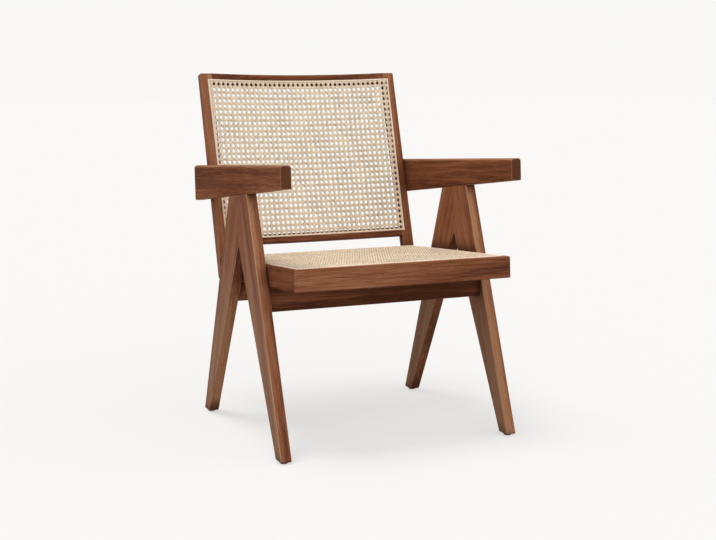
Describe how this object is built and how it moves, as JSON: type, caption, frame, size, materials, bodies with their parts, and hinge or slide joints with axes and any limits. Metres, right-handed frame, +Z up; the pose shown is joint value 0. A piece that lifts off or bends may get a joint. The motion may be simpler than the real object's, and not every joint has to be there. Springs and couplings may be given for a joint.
{
  "type": "cane lounge chair",
  "caption": "Low open armchair with A-shaped wooden side frames, tapered armrests, a tilted cane seat and a leaning, gently bowed cane back.",
  "frame": {"origin": "on the floor, at the middle of the bounding box seen from above", "axes": "+Z up, the front of the chair faces -Y, +X to the right of someone looking at the front"},
  "size_m": [0.568, 0.643, 0.812],
  "materials": {
    "wood": "satin oiled hardwood, reddish brown",
    "cane": "natural woven cane, slightly glossy",
    "spline": "pale reed spline",
    "steel": "plain steel",
    "glide": "dark matte plastic"
  },
  "bodies": {
    "root": {"armrest_dowels": "wood", "armrest_screws": "steel", "back_bottom_rail": "wood", "back_cane_panel": "cane", "back_screws": "steel", "back_spline_bottom": "spline", "back_spline_left": "spline", "back_spline_right": "spline", "back_spline_top": "spline", "back_top_rail": "wood", "front_stretcher": "wood", "glide_nails": "steel", "left_armrest": "wood", "left_back_stile": "wood", "left_front_glide": "glide", "left_front_leg": "wood", "left_rear_glide": "glide", "left_rear_leg": "wood", "leg_dowels": "wood", "rear_stretcher": "wood", "right_armrest": "wood", "right_back_stile": "wood", "right_front_glide": "glide", "right_front_leg": "wood", "right_rear_glide": "glide", "right_rear_leg": "wood", "seat_cane_panel": "cane", "seat_front_rail": "wood", "seat_left_rail": "wood", "seat_rear_rail": "wood", "seat_right_rail": "wood", "seat_screws": "steel", "seat_spline_front": "spline", "seat_spline_left": "spline", "seat_spline_rear": "spline", "seat_spline_right": "spline"}
  },
  "joints": []
}
